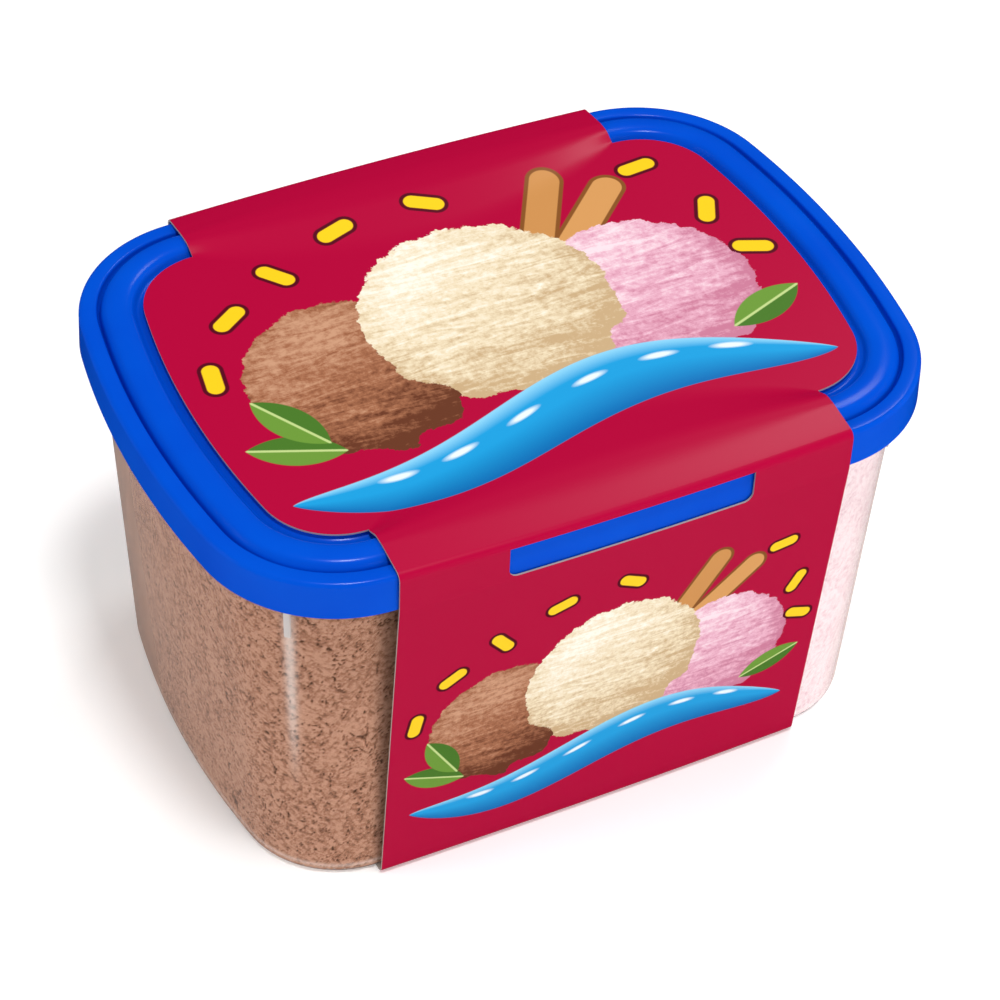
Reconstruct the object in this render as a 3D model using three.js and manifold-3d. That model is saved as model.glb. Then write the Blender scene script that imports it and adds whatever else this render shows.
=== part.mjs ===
// Ice cream tub: a clear tapering tub, a clip-on lid, a card sleeve round both, and three flavours inside.
// Millimetres, +Z up. X runs along the tub, -Y is the front, and z = 0 is the underside of the sleeve.
import * as THREE from 'three';
import { mergeVertices } from 'three/addons/utils/BufferGeometryUtils.js';
import Module from 'manifold-3d';

const wasm = await Module();
wasm.setup();

// Lid outline seen from above, the outline that everything else is set in from
const LID_LENGTH = 195;
const LID_WIDTH = 142.5;
const CORNER_RADIUS = 35.5;
const END_BOW_RADIUS = 238;
const SIDE_BOW_RADIUS = 1325;
const END_SEGMENTS = 4;
const CORNER_SEGMENTS = 8;
const SIDE_SEGMENTS = 8;

// Clearance between pieces, and the thickness of each material
const GAP = 0.3;
const CARD = 0.5;
const TUB_WALL = 0.9;
const LID_WALL = 1;

// Levels, from the underside of the sleeve upwards
const BASE_Z = CARD + GAP;
const SKIRT_BOTTOM_Z = 101.1;
const FLANGE_Z = 104.6;
const RIM_Z = 108;
const PANEL_Z = 111.4;
const LEDGE_Z = 111.6;
const CROWN_Z = 113;
const FILL_Z = 103;

// Tub: how far its wall stands in from the lid's outline, above and below
const TUB_TOP_INSET = 4.9;
const TUB_BASE_INSET = 9.6;
const TUB_BASE_FILLET = 2;
const FLANGE_INSET = 2;
const FLANGE_BEVEL = 0.6;
const WALL_SLOPE = (TUB_BASE_INSET - TUB_TOP_INSET) / (FLANGE_Z - BASE_Z);

// Stacking ribs, one on the diagonal of each corner
const RIB_WIDTH = 1.6;
const RIB_DEPTH = 1.6;
const RIB_PROUD = 0.8;
const RIB_BOTTOM_Z = 88.2;
const RIB_TOP_Z = 103.6;

// Lid: places across the rim, as distances in from the outline
const SKIRT_DRAFT = 0.35;
const SKIRT_ROUND = 1.4;
const GROOVE_START = 4.3;
const GROOVE_BOTTOM = 5.7;
const GROOVE_Z = 109.6;
const BEAD_FOOT = { inset: 6.7, rise: 1.6 };
const BEAD_SHOULDER = { inset: 8.2, drop: 0.4 };
const CROWN_INSET = 10.4;
const BEAD_FLANK = { inset: 13.4, drop: 0.6 };
const BEAD_END = 14.8;
const BEAD_STEPS = 10;
const HOLLOW_STEPS = 5;
const PLUG_LEAN = 0.7;
const SNAP_DEPTH = 0.8;
const SNAP_HEIGHT = 3;

// Card sleeve
const SLEEVE_WIDTH = 118.2;
const SLEEVE_STATIONS = 8;
const SLEEVE_FOOT_Y = 63;
const LOBE_INSET = 16.3;
const RISE_INSET = 15.7;
const SLEEVE_CROWN_INNER = 12.6;
const SLEEVE_CROWN_OUTER = 8.4;
const FOLD_Z = LEDGE_Z + GAP;
const ROUND = { rise: 2.4, crown: 4, fold: 1.8, skirt: 3, foot: 2 };
const ROUND_SEGMENTS = 4;

// Slot in the sleeve's front and back, through which the lid's skirt shows
const SLOT_WIDTH = 64;
const SLOT_BOTTOM_Z = 102;
const SLOT_TOP_Z = 110.9;
const SLOT_RADIUS = 2.4;
const SLOT_REACH = 12;

// Flavours: where one meets the next
const FLAVOUR_LINE_X = 30;

// Outline arcs

// The crossing of two circles that lies furthest out along +X and +Y.
function circleCrossing(a, radiusA, b, radiusB) {
  const span = a.distanceTo(b);
  const along = b.clone().sub(a).divideScalar(span);
  const reach = (radiusA ** 2 - radiusB ** 2 + span ** 2) / (2 * span);
  const rise = Math.sqrt(radiusA ** 2 - reach ** 2);
  const across = new THREE.Vector2(-along.y, along.x);
  const foot = a.clone().addScaledVector(along, reach);
  const ends = [foot.clone().addScaledVector(across, rise), foot.clone().addScaledVector(across, -rise)];
  return ends[0].x + ends[0].y > ends[1].x + ends[1].y ? ends[0] : ends[1];
}

const endCentre = new THREE.Vector2(LID_LENGTH / 2 - END_BOW_RADIUS, 0);
const sideCentre = new THREE.Vector2(0, LID_WIDTH / 2 - SIDE_BOW_RADIUS);
const cornerCentre = circleCrossing(
  sideCentre, SIDE_BOW_RADIUS - CORNER_RADIUS, endCentre, END_BOW_RADIUS - CORNER_RADIUS);
const endAngle = cornerCentre.clone().sub(endCentre).angle();
const sideAngle = cornerCentre.clone().sub(sideCentre).angle();

// One half of the outline, from the +X end round to the -X end, turned by half a turn for the other half.
function halfOutlineArcs(inset, turn) {
  const sign = turn === 0 ? 1 : -1;
  const arc = (centre, radius, from, to) => new THREE.EllipseCurve(
    sign * centre.x, sign * centre.y, radius - inset, radius - inset, from + turn, to + turn);
  const mirrored = new THREE.Vector2(-cornerCentre.x, cornerCentre.y);
  return [
    [arc(endCentre, END_BOW_RADIUS, -endAngle, endAngle), END_SEGMENTS],
    [arc(cornerCentre, CORNER_RADIUS, endAngle, sideAngle), CORNER_SEGMENTS],
    [arc(sideCentre, SIDE_BOW_RADIUS, sideAngle, Math.PI - sideAngle), SIDE_SEGMENTS],
    [arc(mirrored, CORNER_RADIUS, Math.PI - sideAngle, Math.PI - endAngle), CORNER_SEGMENTS],
  ];
}

// Points of the outline set in by a distance; every inset gives the same number of points.
function outlinePoints(inset) {
  const arcs = [...halfOutlineArcs(inset, 0), ...halfOutlineArcs(inset, Math.PI)];
  const steps = (count) => Array.from({ length: count }, (_, i) => i / count);
  return arcs.flatMap(([arc, count]) => steps(count).map((t) => arc.getPoint(t)));
}

// Half the lid's width at a place along the tub, on the bowed side.
function halfWidthAt(x) {
  return sideCentre.y + Math.sqrt(SIDE_BOW_RADIUS ** 2 - x ** 2);
}

// Meshes and solids

function meshGeometry(points, triangles) {
  const geometry = new THREE.BufferGeometry();
  geometry.setAttribute('position', new THREE.Float32BufferAttribute(points, 3));
  geometry.setIndex(triangles);
  return geometry;
}

// Two triangles between places i and next of two rings that start at the given vertices.
function quad(lower, upper, i, next) {
  return [lower + i, lower + next, upper + next, lower + i, upper + next, upper + i];
}

// A body of revolution round the outline: each profile point is a ring at [inset, z], and the first and
// last rings close on the axis.
function outlineLathe(profile) {
  const points = [];
  const triangles = [];
  for (const [inset, z] of profile) {
    outlinePoints(inset).forEach((p) => points.push(p.x, p.y, z));
  }
  const count = outlinePoints(0).length;
  const last = (profile.length - 1) * count;
  const bottom = profile.length * count;
  points.push(0, 0, profile[0][1], 0, 0, profile[profile.length - 1][1]);
  for (let i = 0; i < count; i += 1) {
    const next = (i + 1) % count;
    for (let ring = 0; ring < last; ring += count) {
      triangles.push(...quad(ring, ring + count, i, next));
    }
    triangles.push(bottom, next, i, bottom + 1, last + i, last + next);
  }
  return meshGeometry(points, triangles);
}

function solid(geometry) {
  const bare = geometry.clone();
  bare.deleteAttribute('normal');
  bare.deleteAttribute('uv');
  const merged = mergeVertices(bare);
  return new wasm.Manifold(new wasm.Mesh({
    numProp: 3,
    vertProperties: new Float32Array(merged.attributes.position.array),
    triVerts: new Uint32Array(merged.index.array),
  }));
}

function geometryOf(manifold) {
  const mesh = manifold.getMesh();
  return meshGeometry(Array.from(mesh.vertProperties), Array.from(mesh.triVerts));
}

// An upright box between two corners.
function boxBetween(low, high) {
  const size = new THREE.Vector3().subVectors(high, low);
  const middle = new THREE.Vector3().addVectors(low, high).multiplyScalar(0.5);
  return new THREE.BoxGeometry(size.x, size.y, size.z).translate(middle.x, middle.y, middle.z);
}

// Tub

// A quarter round between an underside and a wall, as [inset, z] points going outwards and up.
function filletProfile(wallInset, floorZ, radius) {
  const steps = Array.from({ length: ROUND_SEGMENTS + 1 }, (_, i) => i / ROUND_SEGMENTS);
  return steps.map((t) => {
    const angle = t * Math.PI / 2;
    return [wallInset + radius * (1 - Math.sin(angle)), floorZ + radius * (1 - Math.cos(angle))];
  });
}

// How far the tapering wall stands in at a level, set in further by a thickness.
function wallInsetAt(z, thickness) {
  return TUB_BASE_INSET - WALL_SLOPE * (z - BASE_Z) + thickness;
}

// A wall and the floor inside it, from the floor's edge up to a level.
function wallProfile(thickness, topZ) {
  const floorZ = BASE_Z + thickness;
  const radius = TUB_BASE_FILLET - thickness;
  const foot = filletProfile(wallInsetAt(floorZ + radius, thickness), floorZ, radius);
  return [...foot, [wallInsetAt(topZ, thickness), topZ]];
}

// A short upright rib on a corner's diagonal, leaning outwards with the wall.
function stackingRib(side) {
  const middleZ = (RIB_TOP_Z + RIB_BOTTOM_Z) / 2;
  const reach = CORNER_RADIUS - wallInsetAt(middleZ, 0) + RIB_PROUD - RIB_DEPTH / 2;
  const rib = new THREE.BoxGeometry(RIB_DEPTH, RIB_WIDTH, RIB_TOP_Z - RIB_BOTTOM_Z);
  rib.rotateY(Math.atan(WALL_SLOPE));
  rib.translate(reach, 0, middleZ);
  rib.rotateZ(Math.atan2(side.y, side.x));
  return rib.translate(side.x * cornerCentre.x, side.y * cornerCentre.y, 0);
}

function tubGeometry() {
  const flange = [
    [FLANGE_INSET, FLANGE_Z + FLANGE_BEVEL],
    [FLANGE_INSET, RIM_Z - FLANGE_BEVEL],
    [FLANGE_INSET + FLANGE_BEVEL, RIM_Z],
    [wallInsetAt(RIM_Z, TUB_WALL) - FLANGE_BEVEL, RIM_Z],
    [wallInsetAt(RIM_Z, TUB_WALL), RIM_Z - FLANGE_BEVEL],
  ];
  const outside = wallProfile(0, FLANGE_Z);
  const inside = wallProfile(TUB_WALL, FLANGE_Z).reverse();
  const shell = outlineLathe([...outside, ...flange, ...inside]);
  const corners = [[1, 1], [-1, 1], [-1, -1], [1, -1]].map(([x, y]) => new THREE.Vector2(x, y));
  return geometryOf(corners.reduce((tub, side) => tub.add(solid(stackingRib(side))), solid(shell)));
}

// Lid

// The moulded rim from the skirt's foot to the flat panel, as a smooth line through its turning points.
function lidTopProfile() {
  const edge = filletProfile(SKIRT_DRAFT, 0, SKIRT_ROUND);
  const roundedEdge = edge.reverse().map(([inset, z]) => [inset, LEDGE_Z - z]);
  const bead = new THREE.SplineCurve([
    new THREE.Vector2(GROOVE_BOTTOM, GROOVE_Z),
    new THREE.Vector2(BEAD_FOOT.inset, GROOVE_Z + BEAD_FOOT.rise),
    new THREE.Vector2(BEAD_SHOULDER.inset, CROWN_Z - BEAD_SHOULDER.drop),
    new THREE.Vector2(CROWN_INSET, CROWN_Z),
    new THREE.Vector2(BEAD_FLANK.inset, CROWN_Z - BEAD_FLANK.drop),
    new THREE.Vector2(BEAD_END, PANEL_Z),
  ]);
  const beadPoints = bead.getPoints(BEAD_STEPS).map((p) => [p.x, p.y]);
  return [[0, SKIRT_BOTTOM_Z], ...roundedEdge, [GROOVE_START, LEDGE_Z], ...beadPoints];
}

// The underside follows the top a wall's thickness away, with a snap bead inside the skirt's foot.
function lidUnderProfile() {
  const hollow = new THREE.SplineCurve([
    new THREE.Vector2(BEAD_END - PLUG_LEAN, PANEL_Z - LID_WALL),
    new THREE.Vector2(BEAD_FLANK.inset - PLUG_LEAN, CROWN_Z - LID_WALL - BEAD_FLANK.drop),
    new THREE.Vector2(CROWN_INSET, CROWN_Z - LID_WALL),
    new THREE.Vector2(BEAD_SHOULDER.inset + PLUG_LEAN, CROWN_Z - LID_WALL - BEAD_SHOULDER.drop),
    new THREE.Vector2(BEAD_FOOT.inset + LID_WALL, GROOVE_Z),
  ]);
  const hollowPoints = hollow.getPoints(HOLLOW_STEPS).map((p) => [p.x, p.y]);
  const plug = [
    [BEAD_FOOT.inset + PLUG_LEAN, GROOVE_Z - LID_WALL],
    [GROOVE_START, GROOVE_Z - LID_WALL],
    [GROOVE_START - PLUG_LEAN, LEDGE_Z - LID_WALL],
  ];
  const skirt = [
    [SKIRT_DRAFT + LID_WALL, LEDGE_Z - LID_WALL],
    [LID_WALL, SKIRT_BOTTOM_Z + SNAP_HEIGHT],
    [LID_WALL + SNAP_DEPTH, SKIRT_BOTTOM_Z + SNAP_HEIGHT / 2],
    [LID_WALL, SKIRT_BOTTOM_Z],
  ];
  return [...hollowPoints, ...plug, ...skirt];
}

function lidGeometry() {
  return outlineLathe([...lidUnderProfile(), ...lidTopProfile()]);
}

// Sleeve

// A loop of straight panels with rounded corners, offset outwards by a distance. Corners are
// { at, radius }, in order round the loop, and the radius is measured on the card's inner face.
function roundedLoop(corners, offset) {
  return corners.flatMap(({ at, radius }, i) => {
    const before = corners[(i + corners.length - 1) % corners.length].at;
    const after = corners[(i + 1) % corners.length].at;
    const into = at.clone().sub(before).normalize();
    const out = after.clone().sub(at).normalize();
    const turn = Math.atan2(into.cross(out), into.dot(out));
    const outward = Math.sign(turn);
    const normal = new THREE.Vector2(into.y, -into.x);
    const start = at.clone().addScaledVector(into, -radius * Math.tan(Math.abs(turn) / 2));
    const centre = start.clone().addScaledVector(normal, -outward * radius);
    const arm = normal.clone().multiplyScalar(outward * radius + offset);
    const steps = Array.from({ length: ROUND_SEGMENTS + 1 }, (_, k) => turn * k / ROUND_SEGMENTS);
    return steps.map((angle) => arm.clone().rotateAround(new THREE.Vector2(), angle).add(centre));
  });
}

// The card's inner face in the YZ plane at a place along the tub, from the back's foot over the top.
function sleeveCorners(x) {
  const side = halfWidthAt(x);
  const back = [
    [SLEEVE_FOOT_Y - CARD, CARD, ROUND.foot],
    [side + GAP, SKIRT_BOTTOM_Z, ROUND.skirt],
    [side + GAP, FOLD_Z, ROUND.fold],
    [side - SLEEVE_CROWN_OUTER, CROWN_Z + GAP, ROUND.crown],
    [side - SLEEVE_CROWN_INNER, CROWN_Z + GAP, ROUND.crown],
    [side - RISE_INSET, PANEL_Z + GAP, ROUND.rise],
  ];
  const front = back.map(([y, z, radius]) => [-y, z, radius]).reverse();
  return [...back, ...front].map(([y, z, radius]) => ({ at: new THREE.Vector2(y, z), radius }));
}

function sleeveBand() {
  const points = [];
  const triangles = [];
  const count = roundedLoop(sleeveCorners(0), 0).length;
  for (let station = 0; station <= SLEEVE_STATIONS; station += 1) {
    const x = SLEEVE_WIDTH * (station / SLEEVE_STATIONS - 0.5);
    for (const offset of [CARD, 0]) {
      roundedLoop(sleeveCorners(x), offset).forEach((p) => points.push(x, p.x, p.y));
    }
  }
  const stride = 2 * count;
  const end = SLEEVE_STATIONS * stride;
  for (let i = 0; i < count; i += 1) {
    const next = (i + 1) % count;
    for (let start = 0; start < end; start += stride) {
      triangles.push(...quad(start, start + stride, i, next));
      triangles.push(...quad(start + count, start + count + stride, next, i));
    }
    triangles.push(...quad(0, count, next, i));
    triangles.push(...quad(end, end + count, i, next));
  }
  return meshGeometry(points, triangles);
}

// The top panel with its round lobes, which lies in the lid's recess.
function lobePlate() {
  const plate = new THREE.ExtrudeGeometry(new THREE.Shape(outlinePoints(LOBE_INSET)), {
    depth: CARD, bevelEnabled: false, curveSegments: 1,
  });
  return plate.translate(0, 0, PANEL_Z + GAP);
}

function slotCutter(side) {
  const half = SLOT_WIDTH / 2;
  const shape = new THREE.Shape();
  shape.moveTo(-half, SLOT_TOP_Z);
  shape.lineTo(-half, SLOT_BOTTOM_Z + SLOT_RADIUS);
  shape.absarc(-half + SLOT_RADIUS, SLOT_BOTTOM_Z + SLOT_RADIUS, SLOT_RADIUS, Math.PI, 1.5 * Math.PI);
  shape.absarc(half - SLOT_RADIUS, SLOT_BOTTOM_Z + SLOT_RADIUS, SLOT_RADIUS, 1.5 * Math.PI, 2 * Math.PI);
  shape.lineTo(half, SLOT_TOP_Z);
  const cutter = new THREE.ExtrudeGeometry(shape, {
    depth: SLOT_REACH, bevelEnabled: false, curveSegments: ROUND_SEGMENTS,
  });
  cutter.rotateX(Math.PI / 2);
  return cutter.translate(0, side * LID_WIDTH / 2 + SLOT_REACH / 2, 0);
}

function sleeveGeometry() {
  const blank = solid(sleeveBand()).add(solid(lobePlate()));
  return geometryOf(blank.subtract(solid(slotCutter(-1))).subtract(solid(slotCutter(1))));
}

// Ice cream

// The filling between two places along the tub, a clearance inside the wall.
function flavourGeometry(fromX, toX) {
  const filling = solid(outlineLathe(wallProfile(TUB_WALL + GAP, FILL_Z)));
  const slab = boxBetween(
    new THREE.Vector3(fromX + GAP / 2, -LID_WIDTH, -BASE_Z),
    new THREE.Vector3(toX - GAP / 2, LID_WIDTH, CROWN_Z));
  return geometryOf(filling.intersect(solid(slab)));
}

// Assembly

function piece(name, geometry, colour, roughness) {
  const material = new THREE.MeshStandardMaterial({ color: colour, roughness, metalness: 0 });
  const mesh = new THREE.Mesh(geometry, material);
  mesh.name = name;
  return mesh;
}

const tubMesh = piece('tub', tubGeometry(), 0xe9e6e4, 0.15);
tubMesh.material.transparent = true;
tubMesh.material.opacity = 0.3;

const pack = new THREE.Group();
pack.add(
  tubMesh,
  piece('lid', lidGeometry(), 0x0048d8, 0.35),
  piece('sleeve', sleeveGeometry(), 0xbc073c, 0.4),
  piece('ice_cream_chocolate', flavourGeometry(-LID_LENGTH, -FLAVOUR_LINE_X), 0xa97c66, 0.6),
  piece('ice_cream_vanilla', flavourGeometry(-FLAVOUR_LINE_X, FLAVOUR_LINE_X), 0xf0e4b8, 0.6),
  piece('ice_cream_strawberry', flavourGeometry(FLAVOUR_LINE_X, LID_LENGTH), 0xe6cdd6, 0.6),
);

export default pack;
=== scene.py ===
"""Looks of a take-home ice cream tub: clear tub, blue clip-on lid, printed card sleeve and the filling."""

import logging
import math
from dataclasses import dataclass, field
from enum import Enum
from functools import cached_property
from itertools import pairwise
from typing import Any, Callable, Iterable, Sequence

import bmesh
import bpy
import numpy as np
from mathutils import Matrix, Vector, noise


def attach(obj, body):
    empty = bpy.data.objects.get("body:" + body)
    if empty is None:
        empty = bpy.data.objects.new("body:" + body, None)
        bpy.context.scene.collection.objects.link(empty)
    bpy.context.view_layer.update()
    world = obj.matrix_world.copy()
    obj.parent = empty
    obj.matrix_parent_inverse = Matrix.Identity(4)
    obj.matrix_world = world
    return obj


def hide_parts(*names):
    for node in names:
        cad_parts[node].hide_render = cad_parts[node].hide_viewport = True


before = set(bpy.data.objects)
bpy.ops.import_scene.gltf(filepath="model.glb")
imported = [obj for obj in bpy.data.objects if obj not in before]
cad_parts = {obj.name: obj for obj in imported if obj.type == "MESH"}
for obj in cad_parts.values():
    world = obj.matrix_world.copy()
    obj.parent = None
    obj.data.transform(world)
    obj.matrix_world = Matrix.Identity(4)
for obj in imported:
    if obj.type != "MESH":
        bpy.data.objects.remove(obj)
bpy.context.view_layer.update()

LOG = logging.getLogger("ice_cream_tub")
MM = 0.001
BODY = "root"
MERGE_DISTANCE = 0.01 * MM
PIT, PAINTED_HIGHLIGHT = "pit", "painted_highlight"  # The ice cream's point attributes: pit depth, which also drives painted shade, and a painted highlight.
NUDGE = 0.01  # Millimetres that keep two terraces, or a pick and its neighbours, apart.
Ring = tuple[float, float]
Colour = tuple[float, float, float, float]
Socket = bpy.types.NodeSocket
AddNode = Callable[..., Socket]


class Facing(Enum):
    """Which way a filled ring looks before its terraces are drawn in."""

    UP = 1.0
    DOWN = -1.0


class End(Enum):
    """The end of the tub that a flavour fills, as the sign of its X."""

    LEFT = -1.0
    RIGHT = 1.0


class Crease(Enum):
    """The angle in degrees past which an edge stays sharp, for each kind of surface."""

    MOULDED = 35.0
    FOLDED_CARD = 40.0
    FROZEN = 50.0


def linear(hex_colour: str) -> Colour:
    """Turns an sRGB hex colour into a linear one.

    Args:
        hex_colour: Six hex digits after a hash sign.

    Returns:
        Red, green, blue and alpha, linear.
    """
    shares = [int(hex_colour[i : i + 2], 16) / 255 for i in (1, 3, 5)]
    red, green, blue = (c / 12.92 if c <= 0.04045 else ((c + 0.055) / 1.055) ** 2.4 for c in shares)
    return red, green, blue, 1.0


def smoothstep(low: float, high: float, value: float) -> float:
    """Eases from 0 at low to 1 at high."""
    t = min(max((value - low) / (high - low), 0.0), 1.0)
    return t * t * (3 - 2 * t)


def spline(knots: Sequence[Ring], steps: int) -> list[Ring]:
    """Draws a smooth line through knots, evenly stepped from knot to knot.

    Args:
        knots: The points that the line passes.
        steps: How many steps the whole line has.

    Returns:
        The line's points, with the first and last knots.
    """
    points = [Vector(k) for k in knots]
    last = len(points) - 1
    line = []
    for step in range(steps + 1):
        place = last * step / steps
        i = min(int(place), last - 1)
        t = place - i
        before, start, end, after = (points[min(max(i + k, 0), last)] for k in (-1, 0, 1, 2))
        v0, v1 = (end - before) / 2, (after - start) / 2
        p = (2 * (start - end) + v0 + v1) * t**3 + (3 * (end - start) - 2 * v0 - v1) * t**2 + v0 * t + start
        line.append((p.x, p.y))
    return line


def quarter_round(wall_inset: float, floor_z: float, radius: float, steps: int) -> list[Ring]:
    """Draws the round between an underside and a wall.

    Args:
        wall_inset: The wall's inset at the top of the round.
        floor_z: The underside's level.
        radius: The round's radius.
        steps: How many steps it has.

    Returns:
        Inset and level of each step, from the underside outwards and up.
    """
    angles = [math.pi / 2 * i / steps for i in range(steps + 1)]
    return [(wall_inset + radius * (1 - math.sin(a)), floor_z + radius * (1 - math.cos(a))) for a in angles]


@dataclass(frozen=True)
class PackOutline:
    """The lid's plan in millimetres: bowed ends and sides that run into round corners."""

    length: float = 195.0
    width: float = 142.5
    corner_radius: float = 35.5
    end_bow: float = 238.0
    side_bow: float = 1325.0
    stations: int = 360

    @cached_property
    def end_centre(self) -> Vector:
        """Centre of the right end's bow."""
        return Vector((self.length / 2 - self.end_bow, 0))

    @cached_property
    def side_centre(self) -> Vector:
        """Centre of the back side's bow."""
        return Vector((0, self.width / 2 - self.side_bow))

    @cached_property
    def corner_centre(self) -> Vector:
        """Centre of the back right corner, where both bows meet it at a tangent."""
        a, b = self.end_bow - self.corner_radius, self.side_bow - self.corner_radius
        across = self.side_centre - self.end_centre
        gap = across.length
        along = (a * a - b * b + gap * gap) / (2 * gap)
        height = math.sqrt(a * a - along * along)
        unit = across / gap
        return self.end_centre + unit * along + Vector((-unit.y, unit.x)) * height

    @cached_property
    def arcs(self) -> list[tuple[Vector, float, float, float]]:
        """Centre, radius, first and last angle of each arc, from the right end's middle round by the back."""
        corner = self.corner_centre
        ends = math.atan2(corner.y, corner.x - self.end_centre.x)
        sides = math.atan2(corner.y - self.side_centre.y, corner.x)
        quarter = [
            (self.end_centre, self.end_bow, 0.0, ends),
            (corner, self.corner_radius, ends, sides),
            (self.side_centre, self.side_bow, sides, math.pi / 2),
        ]
        half = quarter + [
            (Vector((-c.x, c.y)), r, math.pi - b, math.pi - a) for c, r, a, b in reversed(quarter)
        ]
        return half + [(-c, r, a + math.pi, b + math.pi) for c, r, a, b in half]

    @cached_property
    def corner_way(self) -> float:
        """The way from an end's middle to the middle of a corner, on its diagonal."""
        (_, end_bow, _, ends), (_, corner_radius, _, _) = self.arcs[:2]
        return end_bow * ends + corner_radius * (math.pi / 4 - ends)

    @cached_property
    def round_length(self) -> float:
        """The whole way round."""
        return sum(r * (b - a) for _, r, a, b in self.arcs)

    def at(self, way: float) -> tuple[float, float, float, float]:
        """Finds a place on the outline.

        Args:
            way: The way round from the right end's middle, by the back.

        Returns:
            The place's X and Y, and those of the outward normal.
        """
        way %= self.round_length
        for centre, radius, first, last in self.arcs:
            span = radius * (last - first)
            angle = first + min(way, span) / radius
            if way <= span:
                break
            way -= span
        nx, ny = math.cos(angle), math.sin(angle)
        return centre.x + nx * radius, centre.y + ny * radius, nx, ny

    def ring(self, inset: float) -> list[tuple[float, float]]:
        """Spaces places evenly round the outline, set in.

        Args:
            inset: How far the ring is set in.

        Returns:
            X and Y of each place, anticlockwise seen from above.
        """
        places = [self.at(self.round_length * i / self.stations) for i in range(self.stations)]
        return [(x - nx * inset, y - ny * inset) for x, y, nx, ny in places]

    def half_width(self, x: float, inset: float = 0.0) -> float:
        """Half the outline's width at a place along it, set in."""
        return self.side_centre.y + math.sqrt((self.side_bow - inset) ** 2 - x * x)

    def end_reach(self, y: float, inset: float) -> float:
        """Finds how far the outline reaches along X.

        Args:
            y: The place across it.
            inset: How far it is set in.

        Returns:
            The reach from the middle.
        """
        corner, radius = self.corner_centre, self.corner_radius - inset
        tangent = corner.y + radius * corner.y / (self.end_bow - self.corner_radius)
        if abs(y) <= tangent:
            return self.end_centre.x + math.sqrt((self.end_bow - inset) ** 2 - y * y)
        return corner.x + math.sqrt(max(radius**2 - (abs(y) - corner.y) ** 2, 0.0))


OUTLINE = PackOutline()


@dataclass(frozen=True)
class PackLevels:
    """Heights and wall figures that the pieces share, in millimetres."""

    gap: float = 0.3
    card: float = 0.5
    tub_wall: float = 0.9
    lid_wall: float = 1.0
    base: float = 0.8
    skirt_bottom: float = 101.1
    flange: float = 104.6
    rim: float = 108.0
    panel: float = 111.4
    ledge: float = 111.6
    crown: float = 113.0
    fill: float = 103.0
    tub_top_inset: float = 4.9
    tub_base_inset: float = 9.6
    tub_fillet: float = 2.0

    @property
    def wall_slope(self) -> float:
        """How far the tub's wall stands out for each millimetre of height."""
        return (self.tub_base_inset - self.tub_top_inset) / (self.flange - self.base)

    def wall_inset(self, z: float, depth: float = 0.0) -> float:
        """The tub wall's inset at a level, at a depth in from its outer face."""
        return self.tub_base_inset - self.wall_slope * (z - self.base) + depth

    def foot_rounds(self, depth: float, steps: int) -> list[Ring]:
        """The round at the tub's foot, at a depth in from its outer face."""
        floor_z, radius = self.base + depth, self.tub_fillet - depth
        return quarter_round(self.wall_inset(floor_z + radius, depth), floor_z, radius, steps)


LEVELS = PackLevels()


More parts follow.
